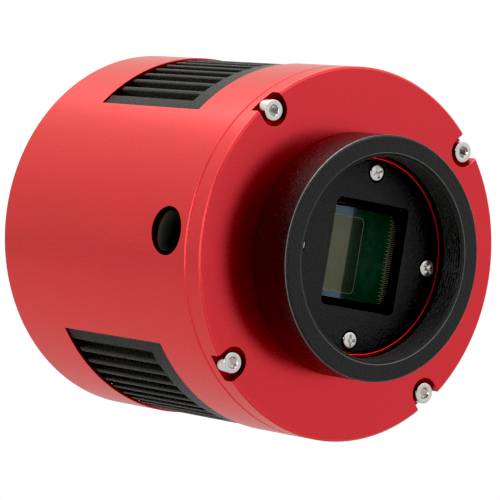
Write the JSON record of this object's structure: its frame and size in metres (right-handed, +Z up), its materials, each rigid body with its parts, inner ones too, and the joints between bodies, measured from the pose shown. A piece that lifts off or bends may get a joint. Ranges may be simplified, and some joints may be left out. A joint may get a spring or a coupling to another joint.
{
  "type": "guide camera",
  "caption": "Cylindrical cooled astronomy guide camera: red body with vented heat sink and fan, black threaded T2 ring, exposed image sensor and rear ports.",
  "frame": {"origin": "centre of the front plate's front face, on the optical axis, where the T2 extension ring seats", "axes": "-Y is the direction in which the camera looks, +Z is up, +X is to the right when looking at the sensor"},
  "size_m": [0.078, 0.0823, 0.078],
  "materials": {
    "red_anodised": "satin bead-blasted red anodising",
    "black_anodised": "satin black anodising",
    "stainless_steel": "bright stainless",
    "seal_rubber": "matte black",
    "plug_black": "polished black",
    "coated_glass": "clear, anti-reflection coated",
    "package_ceramic": "dark fired ceramic",
    "sensor_silicon": "polished silicon, green",
    "circuit_board": "solder mask over copper",
    "bare_aluminium": "machined",
    "white_ceramic": "fired alumina",
    "cooler_pellets": "rows of semiconductor pellets",
    "black_plastic": "moulded",
    "desiccant": "pressed tablet",
    "copper_winding": "enamelled copper wire",
    "port_shell": "nickel plated sheet",
    "nickel_plate": "nickel plated"
  },
  "bodies": {
    "camera": {"body_shell": "red_anodised", "front_plate": "red_anodised", "plate_screw_1": "stainless_steel", "plate_screw_2": "stainless_steel", "plate_screw_3": "stainless_steel", "plate_screw_4": "stainless_steel", "chamber_cover": "black_anodised", "cover_screw_1": "stainless_steel", "cover_screw_2": "stainless_steel", "cover_screw_3": "stainless_steel", "cover_screw_4": "stainless_steel", "window_oring": "seal_rubber", "protective_window": "coated_glass", "sensor_cover_glass": "coated_glass", "sensor_package": "package_ceramic", "sensor_die": "sensor_silicon", "sensor_board": "circuit_board", "cold_finger": "bare_aluminium", "cooler_cold_ceramic": "white_ceramic", "cooler_core": "cooler_pellets", "cooler_hot_ceramic": "white_ceramic", "chamber_housing": "black_plastic", "readout_board": "circuit_board", "memory_chip": "black_plastic", "readout_chip": "black_plastic", "desiccant_tube": "black_plastic", "desiccant_tablet_1": "desiccant", "desiccant_tablet_2": "desiccant", "heat_sink": "black_anodised", "fan_frame": "black_plastic", "fan_stator": "copper_winding", "fan_screw_1": "stainless_steel", "fan_screw_2": "stainless_steel", "fan_screw_3": "stainless_steel", "fan_screw_4": "stainless_steel", "interface_board": "circuit_board", "usb_chip": "black_plastic", "usb_host_port": "port_shell", "usb_hub_port_left": "port_shell", "usb_hub_port_right": "port_shell", "power_jack": "black_plastic", "rear_standoff_1": "nickel_plate", "rear_standoff_2": "nickel_plate", "rear_standoff_3": "nickel_plate", "rear_standoff_4": "nickel_plate", "rear_cover": "red_anodised", "rear_screw_1": "stainless_steel", "rear_screw_2": "stainless_steel", "rear_screw_3": "stainless_steel", "rear_screw_4": "stainless_steel"},
    "extension_ring": {"t2_extension_ring": "black_anodised"},
    "port_plug": {"side_plug": "plug_black", "plug_oring": "seal_rubber"},
    "fan": {"fan_rotor": "black_plastic"}
  },
  "joints": [
    {"name": "ring_removal", "type": "slide", "parent": "camera", "child": "extension_ring", "axis": [0, -1, 0], "range_m": [0, 0.012]},
    {"name": "plug_removal", "type": "slide", "parent": "camera", "child": "port_plug", "axis": [-1, 0, 0], "range_m": [0, 0.012]},
    {"name": "fan_spin", "type": "hinge", "parent": "camera", "child": "fan", "pos_m": [0, 0.058, 0], "axis": [0, 1, 0], "continuous": true}
  ]
}
